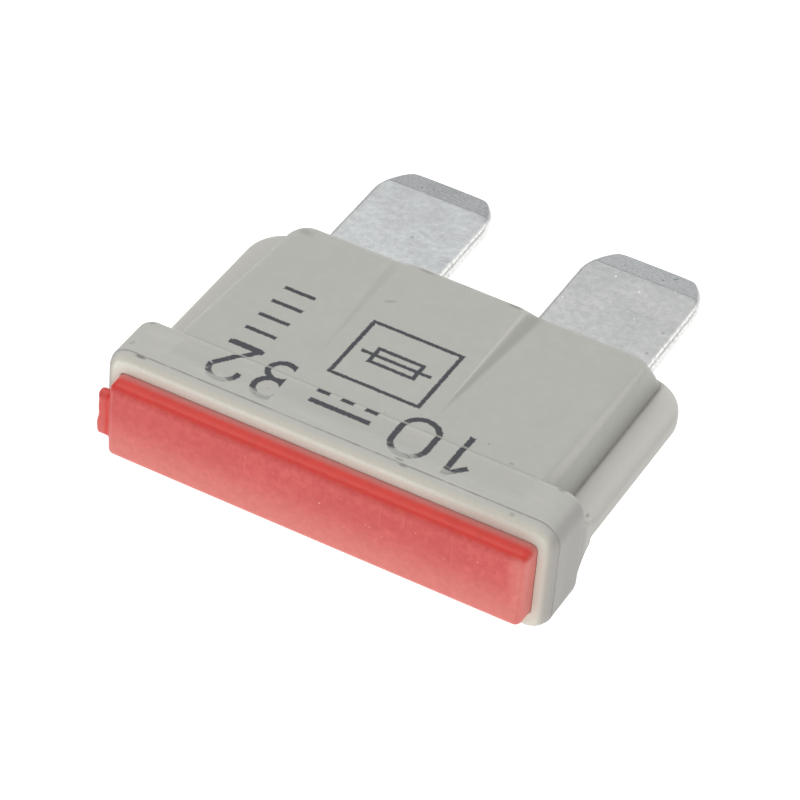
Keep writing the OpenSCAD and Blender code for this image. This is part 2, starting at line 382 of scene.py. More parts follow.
# %% The block and the flange as formulas
def block(x, y, z):
    up = np.abs(z)
    side = (np.abs(x) - FOOT_W / 2 + up * SIDE_LEAN) * math.cos(math.atan(SIDE_LEAN))
    end_z = BLOCK_T / 2 - (BLOCK_LEN - COLLAR_D) * FACE_SLOPE
    upper = slope(up, y, END_KNEE, (BLOCK_LEN, end_z))
    lower = slope(up, y, END_FOOT, END_KNEE)
    end = soft_max(upper, lower, 0.1)
    soft = x * z < 0
    side = side + np.where(soft, SOFT_TAPER * soft_max(y - COLLAR_D - 1, 0, 1), 0)
    top_r = np.where(soft, SOFT_CORNER_R, TOP_CORNER_R)
    long_r = np.where(soft, SOFT_EDGE_R, LONG_EDGE_R)
    corner_r = FOOT_CORNER_R + (top_r - FOOT_CORNER_R) * ease(up, FLANGE_T / 2, 2.2)
    plan = round_and(side, end, corner_r)
    edge_r = END_EDGE_R + (long_r - END_EDGE_R) * ease(side - end, -1, 1)
    return np.maximum(round_and(plan, up - broad_face(x, y), edge_r), INSIDE_COLLAR - y)


def flange(x, y, z):
    up = np.abs(z)
    plan = rounded_rect(x, y - HOUSING_LEN + REACH / 2, FLANGE_W, REACH, FLANGE_CORNER_R)
    plate = round_and(plan, up - FLANGE_T / 2, FLANGE_EDGE_R)
    hollow = ROOT_R - np.hypot(COLLAR_D + ROOT_R - y, FLANGE_T / 2 + ROOT_R - up)
    root = np.maximum(hollow, np.maximum(y - COLLAR_D, up - FLANGE_T / 2) - ROOT_R)
    side = np.abs(x) - COLLAR_W / 2 + ROOT_INSET + ROOT_TAPER * ease(y, COLLAR_D, COLLAR_D + ROOT_R)
    root = round_and(root, side, ROOT_EDGE_R)
    return np.maximum(np.minimum(plate, root), INSIDE_COLLAR - y)


block_probe = np.linspace(7, 10, 3001)
block_half = block_probe[np.argmin(np.abs(block(block_probe, 6.0, FLANGE_T / 2)))]
print(f"block {2 * block_half:.2f} wide where it meets the flange")

# %% [markdown]
# The outside of the housing is the three forms joined, with a small radius in the corners between them.
# The hollow is cut from it: the seat of the cap, the chamber of the link and the slots of the blades.

# %% Make the housing
def housing(x, y, z):
    outside = round_or(block(x, y, z), collar(x, y, z), BLOCK_JOINT_R)
    outside = round_or(outside, flange(x, y, z), FLANGE_JOINT_R)
    seat = rounded_rect(x, z, CAP_W + 2 * PRESS_FIT, CAP_H + 2 * PRESS_FIT, CAP_R)
    seat = np.maximum(seat, y - SEAT_DEPTH)
    cavity = np.maximum(rounded_rect(x, z, CAVITY_W, CAVITY_T, CAVITY_CORNER_R), y - CAVITY_END)
    slot_x = np.abs(x) - BLADE_PITCH / 2
    slots = rounded_rect(slot_x, z, BLADE_W + 2 * FIT, BLADE_T + 2 * FIT, SLOT_CORNER_R)
    slots = np.maximum(slots, CAVITY_END - SLOT_OVERLAP - y)
    hollow = np.minimum(seat, np.minimum(cavity, slots))
    return round_and(outside, -hollow, HOLLOW_EDGE_R)


half_x = ticks((0, 1.9, 0.38), (1.9, 2.3, 0.1), (2.3, 3.5, 0.1), (3.5, 6.9, 0.4), (6.9, 8.5, 0.08),
               (8.5, 9.7, 0.065))
half_z = ticks((0, 0.8, 0.075), (0.8, 1.6, 0.16), (1.6, 2.66, 0.055))
shell_y = ticks((-0.15, 0.33, 0.06), (0.33, 0.53, 0.033), (0.53, 0.9, 0.08), (0.9, 2.2, 0.26),
                (2.2, 2.7, 0.05), (2.7, 3.3, 0.1), (3.3, 10.2, 0.4), (10.2, 12.45, 0.075))
housing_piece = moulded("housing_shell", housing, both_sides(half_x), shell_y, both_sides(half_z))

# %% [markdown]
# The cap is a bar of glossy red plastic that was pressed into the rim and stands a little proud of it. Its
# front is not quite flat: it bulges by a few hundredths of a millimetre, as thick mouldings do, which is
# enough to bend the reflection of the table. On its left end is the stub where the runner was snapped off.
# Behind the bar a tongue reaches into the housing, with grooves that hold the heads of the blades.

# %% Make the end cap
CAP_EDGE_R = 0.36
CROWN = 0.035
BAR_BACK_R = 0.1
GATE_H = 2.1
GATE_T = 0.56
GATE_CORNER_R = 0.26
GATE_END_R = 0.12
GATE_JOINT_R = 0.08
GATE_OVERLAP = 0.4
TONGUE_START = 0.8
TONGUE_EDGE_R = 0.05
TONGUE_LEN = 1.1
GROOVE_D = 0.5
GROOVE_ROOM = 0.3
SHOULDER = 0.2


def gate_stub(x, y, z):
    middle = y + CAP_PROUD / 2
    torn = 0.03 * np.sin(2.9 * z + 0.6) + 0.015 * np.sin(8.1 * z + 2)
    section = rounded_rect(middle - 0.3 * torn, z, GATE_T, GATE_H, GATE_CORNER_R)
    return round_and(section, -x - GATE_END + 0.05 + torn, GATE_END_R)


def end_cap(x, y, z):
    section = rounded_rect(x, z, CAP_W, CAP_H, CAP_R)
    crown = CROWN * (2 * z / CAP_H) ** 2 + 0.4 * CROWN * (2 * x / CAP_W) ** 2
    bar = round_and(section, -y - CAP_PROUD + crown, CAP_EDGE_R)
    bar = round_and(bar, y - SEAT_DEPTH + 0.01, BAR_BACK_R)
    stub = np.maximum(gate_stub(x, y, z), x + CAP_W / 2 - GATE_OVERLAP)
    bar = round_or(bar, stub, GATE_JOINT_R)
    tongue = rounded_rect(x, z, CAVITY_W - 2 * FIT, CAVITY_T - 2 * FIT, CAVITY_CORNER_R)
    tongue_end = y - SEAT_DEPTH - TONGUE_LEN
    tongue = np.maximum(round_and(tongue, tongue_end, TONGUE_EDGE_R), TONGUE_START - y)
    head = BLADE_W + 2 * (SHOULDER + GROOVE_ROOM)
    groove = rounded_rect(np.abs(x) - BLADE_PITCH / 2, z, head, BLADE_T + 2 * FIT, TONGUE_EDGE_R)
    groove = np.maximum(groove, SEAT_DEPTH + TONGUE_LEN - GROOVE_D - y)
    return np.maximum(np.minimum(bar, tongue), -groove)


half_x = ticks((0, 1.4, 0.47), (1.4, 2.2, 0.1), (2.2, 7.1, 0.5), (7.1, 7.8, 0.08), (7.8, 8.2, 0.1),
               (8.2, 9.0, 0.05), (9.0, 9.6, 0.06))
half_z = ticks((0, 0.3, 0.1), (0.3, 0.5, 0.05), (0.5, 1.15, 0.11), (1.15, 1.9, 0.045))
cap_y = ticks((-CAP_PROUD - 0.1, -0.45, 0.045), (-0.45, 0.2, 0.1), (0.2, 1.1, 0.2), (1.1, 1.4, 0.05),
              (1.4, 2.3, 0.18), (2.3, 2.5, 0.05))
cap_piece = moulded("cap_bar", end_cap, both_sides(half_x), cap_y, both_sides(half_z))

# %% [markdown]
# A blade is a strip of zinc that was stamped, rounded along its edges and coined to a thin tip, so that it
# finds its way into the terminal. The coining is a rule on the plan: beyond a line across the blade, and
# beyond two lines near the cut corners, the strip gets thinner in proportion.

# %% One blade as a formula
BLADE_EDGE_R = 0.23
BEVEL_LEN = 1.24
FIRST_CUT_BEVEL = 0.24
SECOND_CUT_BEVEL = 0.42
TIP_T = 0.26
HEAD_Y = SEAT_DEPTH + TONGUE_LEN - GROOVE_D + FIT
CUT_START = (BLADE_W / 2, TIP_Y - 1.35)
CUT_BEND = (BLADE_W / 2 - 0.38, TIP_Y - 0.54)
CUT_END = (BLADE_W / 2 - 0.85, TIP_Y)


def blade(x, y, z):
    """One blade whose middle lies on X = 0."""
    across, up = np.abs(x), np.abs(z)
    first_cut = slope(y, across, CUT_START, CUT_BEND)
    second_cut = slope(y, across, CUT_BEND, CUT_END)
    tip = soft_max(soft_max(first_cut, second_cut, 0.12), y - TIP_Y, 0.14)
    shoulder = SHOULDER * (1 - ease(y, CAVITY_END - 0.06, CAVITY_END))
    plan = np.maximum(round_and(across - BLADE_W / 2 - shoulder, tip, 0.3), HEAD_Y - y)
    thin = (BLADE_T - TIP_T) / 2
    # How far each bevel reaches in from its own edge
    fall = np.maximum(y - TIP_Y + BEVEL_LEN, 0) * thin / BEVEL_LEN
    fall = soft_max(fall, (first_cut + FIRST_CUT_BEVEL) * thin / FIRST_CUT_BEVEL, 0.02)
    fall = soft_max(fall, (second_cut + SECOND_CUT_BEVEL) * thin / SECOND_CUT_BEVEL, 0.02)
    half_t = BLADE_T / 2 - np.clip(fall, 0, thin + 0.02)
    return round_and(plan, up - half_t, np.minimum(BLADE_EDGE_R, 0.75 * half_t))


blade_x = both_sides(ticks((0, 1.4, 0.28), (1.4, 2.2, 0.08), (2.2, 2.85, 0.05)))
blade_y = ticks((HEAD_Y - 0.15, HEAD_Y + 0.15, 0.05), (HEAD_Y + 0.15, 10.95, 0.55),
                (10.95, 11.45, 0.06), (11.45, 16.6, 0.4), (16.6, TIP_Y + 0.12, 0.05))
blade_z = both_sides(ticks((0, 0.4, 0.045)))
blade_points, blade_quads = surface_net(blade, blade_x, blade_y, blade_z)
print(f"one blade: {len(blade_quads) * 2} triangles")

# %% [markdown]
# The two blades are alike, so they are one mesh that Geometry Nodes puts on the two points of a line. A
# small class keeps the trees readable: it adds a node, sets its options, and fills or links its sockets.

# %% A short way to write node trees
class Tree:
    """Adds nodes to a node tree: type, options first, then the values or links of its sockets."""

    def __init__(self, tree):
        self.tree = tree

    def add(self, kind, options=None, **sockets):
        node = self.tree.nodes.new(kind)
        for name, value in (options or {}).items():
            setattr(node, name, value)
        for name, value in sockets.items():
            self.fill(self.find(node, name), value)
        return node

    def find(self, node, name):
        """A socket by number, such as in_1, or by its name in small letters with _ for spaces."""
        if name.startswith("in_"):
            return node.inputs[int(name[3:])]
        for socket in node.inputs:
            if socket.enabled and socket.name.lower().replace(" ", "_") == name:
                return socket
        raise KeyError(f"{node.bl_idname} has no input named {name}")

    def fill(self, socket, value):
        value = getattr(value, "socket", value)
        if isinstance(value, bpy.types.NodeSocket):
            self.tree.links.new(value, socket)
        else:
            socket.default_value = value


plated = bpy.data.materials.new("plated_metal")
grey_plastic = bpy.data.materials.new("housing_plastic")
red_plastic = bpy.data.materials.new("cap_plastic")
print(f"{len((plated, grey_plastic, red_plastic))} finishes to fill in")

# %% [markdown]
# Maths on a socket reads best as plain Python, so a small class stands for a number in a tree: adding or
# multiplying two of them adds a Math node. The same class serves the shapes here and the finishes later.

# %% Numbers in a node tree
class Value:
    """A number on a node's socket."""

    def __init__(self, tree, socket):
        self.tree = tree
        self.socket = socket

    def math(self, operation, *others):
        inputs = {f"in_{n + 1}": other for n, other in enumerate(others)}
        node = self.tree.add("ShaderNodeMath", {"operation": operation}, in_0=self, **inputs)
        return Value(self.tree, node.outputs[0])

    def __add__(self, other):
        return self.math("ADD", other)

    def __sub__(self, other):
        return self.math("SUBTRACT", other)

    def __mul__(self, other):
        return self.math("MULTIPLY", other)

    def __truediv__(self, other):
        return self.math("DIVIDE", other)

    def __rsub__(self, other):
        return self * -1.0 + other

    def __neg__(self):
        return self * -1.0

    def __abs__(self):
        return self.math("ABSOLUTE")

    __radd__ = __add__
    __rmul__ = __mul__

    def least(self, other):
        return self.math("MINIMUM", other)

    def most(self, other):
        return self.math("MAXIMUM", other)

    def between(self, low, high):
        """0 at low, 1 at high and a smooth step between them."""
        smooth = {"interpolation_type": "SMOOTHSTEP"}
        node = self.tree.add("ShaderNodeMapRange", smooth, value=self, from_min=low, from_max=high)
        return Value(self.tree, node.outputs[0])


def hypot(a, b):
    return (a * a + b * b).math("SQRT")


print("a number in a tree can do", ", ".join(n for n in vars(Value) if not n.startswith("_")))

# %% [markdown]
# A tree for a shape has one geometry going in and one coming out, and named inputs for its sizes. A
# modifier sets such an input by the socket's identifier. Instances are made real at the end of each tree,
# and the result is kept as a plain mesh, so that the piece needs no modifier any more.

# %% Run a tree and keep its mesh
def geometry_tree(name, inputs):
    """A modifier tree with one geometry in and out and named inputs, and its group input node."""
    group = bpy.data.node_groups.new(name, "GeometryNodeTree")
    group.interface.new_socket("Geometry", in_out="INPUT", socket_type="NodeSocketGeometry")
    group.interface.new_socket("Geometry", in_out="OUTPUT", socket_type="NodeSocketGeometry")
    for label, kind in inputs:
        group.interface.new_socket(label, in_out="INPUT", socket_type=kind)
    tree = Tree(group)
    return tree, tree.add("NodeGroupInput")


def end_tree(tree, geometry, finish):
    """Makes instances real, gives them their finish and hands them out of the tree."""
    real = tree.add("GeometryNodeRealizeInstances", geometry=geometry)
    dressed = tree.add("GeometryNodeSetMaterial", geometry=real.outputs[0], material=finish)
    tree.add("NodeGroupOutput", geometry=dressed.outputs[0])
    print(f"tree {tree.tree.name}: {len(tree.tree.nodes)} nodes")


def apply_geometry(piece, tree, values):
    """Runs a tree on a piece with its inputs set, and keeps the result as a plain mesh."""
    modifier = piece.modifiers.new(tree.tree.name, "NODES")
    modifier.node_group = tree.tree
    for item in tree.tree.interface.items_tree:
        if item.in_out == "INPUT" and item.name in values:
            modifier[item.identifier] = values[item.name]
    bpy.context.view_layer.update()
    evaluated = piece.evaluated_get(bpy.context.evaluated_depsgraph_get())
    mesh = bpy.data.meshes.new_from_object(evaluated)
    piece.modifiers.clear()
    old = piece.data
    piece.data = mesh
    bpy.data.meshes.remove(old)
    mesh.name = piece.name


pair_tree, pair_in = geometry_tree("blade_pair", [
    ("Count", "NodeSocketInt"), ("Pitch", "NodeSocketFloat"), ("Finish", "NodeSocketMaterial")])
print("inputs of the blade pair:", ", ".join(socket.name for socket in pair_in.outputs if socket.name))

# %% [markdown]
# The line starts half a pitch to the left of the middle and has one point for each blade. The normals and
# the bend come from the same formula as before, folded about the middle so that it serves both blades.

# %% Put the blade on two points of a line
pitch_step = pair_tree.add("ShaderNodeCombineXYZ", x=pair_in.outputs["Pitch"]).outputs[0]
half_pitch = pair_tree.add("ShaderNodeVectorMath", {"operation": "SCALE"}, vector=pitch_step, scale=-0.5)
line = pair_tree.add("GeometryNodeMeshLine", {"mode": "OFFSET"}, count=pair_in.outputs["Count"],
                     start_location=half_pitch.outputs[0], offset=pitch_step)
placed = pair_tree.add("GeometryNodeInstanceOnPoints", points=line.outputs[0],
                       instance=pair_in.outputs["Geometry"])
end_tree(pair_tree, placed.outputs[0], pair_in.outputs["Finish"])

blades_piece = new_piece("blade_pair", to_frame(blade_points), [], blade_quads)
apply_geometry(blades_piece, pair_tree, {"Count": 2, "Pitch": BLADE_PITCH * MM, "Finish": plated})
shade_from_field(blades_piece.data, lambda x, y, z: blade(np.abs(x) - BLADE_PITCH / 2, y, z))
print(f"blade pair: {len(blades_piece.data.polygons) * 2} triangles")

# %% [markdown]
# Between the blades, hidden in the hollow, runs the part that gives the fuse its purpose: a thin strip in
# the shape of an S, with a waist where it melts first. It follows a path, so Geometry Nodes sweep a flat
# section along a line of points and narrow it near the middle.

# %% Sweep the fusible link
LINK_W = 0.8
LINK_T = 0.25
LINK_R = 1.0
LINK_WAIST = 0.5
LINK_POINTS = 97
# The larger this is, the shorter is the waist
WAIST_FALL = 900.0
LINK_Y = (HEAD_Y + CAVITY_END) / 2
LINK_REACH = BLADE_PITCH / 2 - BLADE_W / 2 - SHOULDER + 0.1


def link_path():
    """Points of the S, from the left blade to the right one."""
    turn = np.linspace(0, math.pi, 17)
    upper = [(LINK_R * math.sin(a), LINK_Y + LINK_R + LINK_R * math.cos(a)) for a in turn]
    lower = [(-LINK_R * math.sin(a), LINK_Y - LINK_R + LINK_R * math.cos(a)) for a in turn[1:]]
    ends = [(-LINK_REACH, LINK_Y + 2 * LINK_R)], [(LINK_REACH, LINK_Y - 2 * LINK_R)]
    return np.array([(x, y, 0) for x, y in ends[0] + upper + lower + ends[1]])


link_tree, link_in = geometry_tree("fusible_link", [
    ("Width", "NodeSocketFloat"), ("Thickness", "NodeSocketFloat"), ("Waist", "NodeSocketFloat"),
    ("Finish", "NodeSocketMaterial")])
path = link_tree.add("GeometryNodeMeshToCurve", mesh=link_in.outputs["Geometry"])
path = link_tree.add("GeometryNodeResampleCurve", curve=path.outputs[0], count=LINK_POINTS)
along = link_tree.add("GeometryNodeSplineParameter")
from_middle = Value(link_tree, along.outputs["Factor"]) - 0.5
dip = (from_middle * from_middle * -WAIST_FALL).math("EXPONENT")
radius = 1.0 - dip * link_in.outputs["Waist"]
section = link_tree.add("GeometryNodeCurvePrimitiveQuadrilateral", {"mode": "RECTANGLE"},
                        width=link_in.outputs["Width"], height=link_in.outputs["Thickness"])
swept = link_tree.add("GeometryNodeCurveToMesh", curve=path.outputs[0], profile_curve=section.outputs[0],
                      fill_caps=True, scale=radius)
end_tree(link_tree, swept.outputs[0], link_in.outputs["Finish"])

link_line = to_frame(link_path())
link_piece = new_piece("fusible_link", link_line, [(i, i + 1) for i in range(len(link_line) - 1)], [])
apply_geometry(link_piece, link_tree, {
    "Width": LINK_W * MM, "Thickness": LINK_T * MM, "Waist": LINK_WAIST, "Finish": plated})
print(f"fusible link: {len(link_piece.data.polygons)} faces")

# %% [markdown]
# Each finish is worked out by a material from the place on the fuse, so that it needs no picture. The
# class below adds to the node trees what all three finishes use: the place in millimetres, clouds,
# specks, single marks, mixed colours and relief.

# %% What the finishes share
class Finish(Tree):
    """A material's tree, with the place on the fuse in millimetres from the working planes."""

    def __init__(self, material):
        material.use_nodes = True
        super().__init__(material.node_tree)
        self.shader = self.tree.nodes["Principled BSDF"]
        where = self.add("ShaderNodeTexCoord").outputs["Object"]
        scaled = self.add("ShaderNodeVectorMath", {"operation": "SCALE"}, vector=where, scale=1 / MM)
        self.place = self.add("ShaderNodeVectorMath", {"operation": "SUBTRACT"}, in_0=scaled.outputs[0],
                              in_1=(0, RIM_Y, BLADE_Z)).outputs[0]
        split = self.add("ShaderNodeSeparateXYZ", vector=self.place)
        self.x, self.y, self.z = (Value(self, s) for s in split.outputs)

    def noise(self, size, detail=2.0, roughness=0.5, stretch=(1, 1, 1), turn=0.0):
        """Cloudy noise from 0 to 1 whose patches are about size millimetres wide."""
        mapping = self.add("ShaderNodeMapping", vector=self.place, rotation=(0, 0, math.radians(turn)),
                           scale=tuple(1 / (size * s) for s in stretch))
        node = self.add("ShaderNodeTexNoise", vector=mapping.outputs[0], scale=1.0, detail=detail,
                        roughness=roughness)
        return Value(self, node.outputs["Fac"])

    def specks(self, spacing, radius, share):
        """Round specks, 1 in the middle, in a share of the cells of a grid, spacing millimetres wide."""
        cells = self.add("ShaderNodeTexVoronoi", vector=self.place, scale=1 / spacing)
        chance = Value(self, self.add("ShaderNodeSeparateColor", color=cells.outputs["Color"]).outputs[0])
        near = Value(self, cells.outputs["Distance"]).between(radius / spacing, 0.4 * radius / spacing)
        return near * chance.math("LESS_THAN", share)

    def mark(self, x, y, radius, stretch=1.0, turn=0.0, third=None):
        """A soft mark at one place, 1 in its middle, seen along Z, or along Y where third is its Z."""
        c, s = math.cos(math.radians(turn)), math.sin(math.radians(turn))
        u, v = self.x - x, (self.y - y if third is None else self.z - third)
        return hypot((u * c + v * s) / stretch, v * c - u * s).between(radius, 0.3 * radius)

    def mix(self, amount, a, b):
        """Colour a where amount is 0 and colour b where it is 1."""
        node = self.add("ShaderNodeMix", {"data_type": "RGBA"}, factor=amount)
        for socket, colour in zip([s for s in node.inputs if s.type == "RGBA"], (a, b)):
            self.fill(socket, (*colour, 1) if isinstance(colour, tuple) else colour)
        return next(s for s in node.outputs if s.type == "RGBA")

    def bump(self, *layers):
        """Relief from pairs of a height from 0 to 1 and its depth in millimetres."""
        normal = None
        for height, depth in layers:
            node = self.add("ShaderNodeBump", height=height, distance=depth * MM)
            if normal is not None:
                self.fill(node.inputs["Normal"], normal)
            normal = node.outputs["Normal"]
        self.fill(self.shader.inputs["Normal"], normal)

    def set(self, **sockets):
        for name, value in sockets.items():
            self.fill(self.find(self.shader, name), value)

    def report(self, what):
        print(f"finish of the {what}: {len(self.tree.nodes)} nodes")


print("a finish can do", ", ".join(n for n in vars(Finish) if not n.startswith("_")))

# %% [markdown]
# The print on the broad face is ink, a few micrometres thick, so it is colour and not relief. It is drawn
# in the material as distances to simple shapes. The two numbers come from bars and rings.

# %% Bars, rings and numbers
STROKE = 0.25
DIGIT_H = 2.5


def bar(u, v, length, width):
    """Distance to a bar with its middle on u = v = 0."""
    return (abs(u) - length / 2).most(abs(v) - width / 2)


def ring(u, v, straight, r, stroke):
    """Distance to an upright ring with straight sides."""
    return abs(hypot(u, (abs(v) - straight / 2).most(0.0)) - r) - stroke / 2


def tilted(u, v, degrees):
    c, s = math.cos(math.radians(degrees)), math.sin(math.radians(degrees))
    return u * c + v * s, v * c - u * s


def ten_shape(u, v):
    """A one with its flag, and a nought."""
    one = bar(u + 1.05, v, STROKE, DIGIT_H)
    flag_u, flag_v = tilted(u + 1.4, v - DIGIT_H / 2 + 0.42, 48)
    nought = ring(u - 0.75, v, 0.8, 0.5 * (DIGIT_H - 0.8 - STROKE), STROKE)
    return one.least(bar(flag_u, flag_v, 0.95, STROKE)).least(nought)


def thirty_two_shape(u, v):
    r = (DIGIT_H - STROKE) / 4
    three = ring(u + 0.95, abs(v) - r, 0, r, STROKE).most(-u - 1.3)
    arc = ring(u - 0.95, v - 0.52, 0, 0.6, STROKE).most(0.45 - v)
    slant_u, slant_v = tilted(u - 0.95, v + 0.35, 53)
    two = arc.least(bar(slant_u, slant_v, 1.95, STROKE)).most(-1.25 - v)
    return three.least(two).least(bar(u - 0.95, v + (DIGIT_H - STROKE) / 2, 1.5, STROKE))


print(f"digits {DIGIT_H} high with strokes {STROKE} wide")

# %% [markdown]
# Around the numbers stand the sign for direct current, a rectangle with a line through it, which is the
# general sign for a fuse, and five plain strokes where a date would be. The ink thins out where the pad
# did not reach, along the step at the back of the collar.

# %% The whole print
LINE_MIDDLE = (-0.5, 1.95)
SIGN_MIDDLE = (0.0, 5.35)
SIGN_STROKE = 0.18
FRAME_SIZE = (3.8, 3.5)
CASE_SIZE = (1.9, 0.85)
WIRE_LEN = 3.0
DATE_MIDDLE = (-5.2, 5.15)


def rating_shape(f):
    """Ten amperes, the sign for direct current and thirty-two volts, read from the blade side."""
    u, v = LINE_MIDDLE[0] - f.x, LINE_MIDDLE[1] - f.y
    long_bar = bar(u + 0.1, v - 0.25, 2.6, STROKE)
    short = bar(u + 0.1, v + 0.4, 0.55, STROKE).least(bar(abs(u + 0.1) - 1.03, v + 0.4, 0.55, STROKE))
    numbers = ten_shape(u + 3.9, v).least(thirty_two_shape(u - 3.75, v))
    return numbers.least(long_bar).least(short)


def fuse_sign_shape(f):
    """A rectangle with a line through it, in a plain frame."""
    u, v = f.x - SIGN_MIDDLE[0], f.y - SIGN_MIDDLE[1]
    border = abs(bar(u, v, *FRAME_SIZE)) - SIGN_STROKE / 2
    case_line = abs(bar(u, v, *CASE_SIZE)) - SIGN_STROKE / 2
    return border.least(case_line).least(bar(u, v, WIRE_LEN, SIGN_STROKE))


def date_strokes_shape(f):
    """Five plain strokes, one millimetre apart."""
    u, v = f.x - DATE_MIDDLE[0], f.y - DATE_MIDDLE[1]
    return bar(v.math("PINGPONG", 0.5), u, 0.21, 1.35).most(abs(v) - 2.3)


def ink_amount(f):
    distance = rating_shape(f).least(fuse_sign_shape(f)).least(date_strokes_shape(f))
    ragged = distance + (f.noise(0.12, 3) - 0.5) * 0.1
    ink = ragged.between(0.03, -0.03)
    step_gap = abs(f.y - COLLAR_D - 0.03).between(0.03, 0.09)
    rim_gap = (f.y + (f.noise(0.25, 3, stretch=(1.8, 0.5, 1)) - 0.5) * 1.1).between(0.85, 1.25)
    worn = f.noise(0.16, 4, 0.7).between(0.28, 0.36)
    on_top = f.z.between(1.9, 2.0)
    return ink * (0.35 + 0.65 * step_gap) * (0.25 + 0.75 * rim_gap) * (0.72 + 0.28 * worn) * on_top


print(f"the sign's frame is {FRAME_SIZE[0]} x {FRAME_SIZE[1]}, its middle {SIGN_MIDDLE[1]} behind the rim")

# %% [markdown]
# The housing is a warm light grey with a fine matt grain, and its edges are a touch lighter, partly from
# polish and partly a painted highlight. The front of the rim is cream, and painted light makes it and the
# flange paler than the rest, palest on the rim beside the cap, whose bar shades it.

# %% Clean plastic and its rim
GREY = (0.462, 0.462, 0.428)
GREY_SHADE = (0.42, 0.422, 0.392)
GREY_RUBBED_AND_LIT = (0.565, 0.55, 0.51)
GREY_PAINTED_SHADE = (0.31, 0.284, 0.274)
CREAM = (0.67, 0.635, 0.545)
CREAM_PAINTED_LIGHT = (0.84, 0.87, 0.77)


def clean_plastic(f, bend, cloud):
    colour = f.mix(f.noise(2.2, 4, 0.6), GREY_SHADE, GREY)
    colour = f.mix(cloud.between(0.4, 0.8) * 0.2, colour, GREY_RUBBED_AND_LIT)
    streaks = f.noise(0.35, 3, 0.6, (9, 1, 1), 4)
    colour = f.mix(streaks.between(0.5, 0.75) * f.y.between(2.5, 2.3) * 0.4, colour, GREY_RUBBED_AND_LIT)
    # Convex edges a touch lighter: some polish and a painted highlight
    colour = f.mix(bend.between(0.1, 0.7) * 0.5, colour, GREY_RUBBED_AND_LIT)
    return f.mix(f.y.between(2.6, 2.4) * 0.22, colour, GREY_RUBBED_AND_LIT)


def lit_rim_and_flange(f, colour, flange_only):
    """The front of the rim, cream and paler with painted light, and the flange, paler with painted light."""
    front = (f.y + 0.06 * f.noise(0.4, 3)).between(RIM_R + 0.02, 0.05)
    # The rim's front: its cream tint, made paler with painted light
    colour = f.mix(front * f.y.between(0.6, -0.1), colour, CREAM)
    # Painted light beside the cap, where the cap's bar shades the rim
    colour = f.mix(front * f.y.between(0.08, 0.0) * f.x.between(9, 3).most(0.35), colour, CREAM_PAINTED_LIGHT)
    # Painted light on the flange
    return f.mix(flange_only * (0.4 + 0.6 * f.x.between(-1, 1)), colour, GREY_RUBBED_AND_LIT)


print("the housing goes from", GREY_SHADE, "in the shade to", CREAM_PAINTED_LIGHT, "on the rim")

# %% [markdown]
# Painted shade darkens the corners and the block's side walls, and the ramps beside the panel get dirt and
# painted shade. Dirt lies along the step of the rim and in a few smudges. The ramps' crests and the block's
# long edges get a painted highlight and some rubbing. A ramp starts as a line near the collar and grows
# wider towards the blades, so both use a place across it that grows with it.

# %% Dirt and rubbed edges
DIRT_AND_SHADE = (0.13, 0.115, 0.09)
SMUDGES = [
    # x, y, radius, stretch, turn, strength
    (-8.2, 0.36, 0.1, 3.3, 0, 0.85), (-8.8, 2.4, 0.2, 1.6, 60, 0.4), (-8.9, 0.9, 0.12, 1.6, 40, 0.3),
    (2.75, 0.56, 0.07, 4.0, 0, 0.6), (3.0, 0.38, 0.08, 3.6, 0, 0.65), (7.6, 0.25, 0.1, 1.5, 0, 0.35),
    (5.08, 3.2, 0.07, 1.0, 0, 0.5), (6.3, 2.68, 0.09, 1.6, 20, 0.4), (8.55, 2.35, 0.17, 1.4, 0, 0.45),
    (-2.0, 8.5, 0.12, 3.0, 35, 0.28), (1.03, 2.61, 0.07, 1.2, 0, 0.2), (-1.7, 10.95, 0.16, 3.4, 0, 0.45),
    (2.15, 10.95, 0.16, 2.8, 0, 0.5), (0.0, 11.0, 0.1, 4.0, 0, 0.25), (-7.1, 10.8, 0.25, 2.6, -20, 0.25),
]
# The long edges of the block lie at this distance from its middle
LONG_EDGE_X = 7.87


def ramp_place(f):
    """How far a point lies along the panel's ramps, from 0 to 1, and its place across them."""
    ramp = (f.y - PANEL_START) / (BLOCK_LEN - PANEL_START)
    return ramp, (abs(f.x) - 2.74 - 0.3 * ramp) / (0.05 + 0.26 * ramp)


def rubbed_and_lit_edges(f, colour, cloud, ramp, across):
    # Painted highlight along the crest of the right ramp
    crest = abs(across + 1.3).between(0.45, 0.1) * ramp.between(0, 0.3) * f.x.between(0, 1)
    colour = f.mix(crest * 0.6, colour, GREY_RUBBED_AND_LIT)
    # Painted highlight along the block's long edges, with some rubbing
    rubbed_and_lit = abs(abs(f.x) - LONG_EDGE_X).between(0.16, 0.04) * f.z.between(1.9, 2.1) * f.y.between(2.6, 3.0)
    return f.mix(rubbed_and_lit * (0.35 + 0.5 * cloud), colour, GREY_RUBBED_AND_LIT)


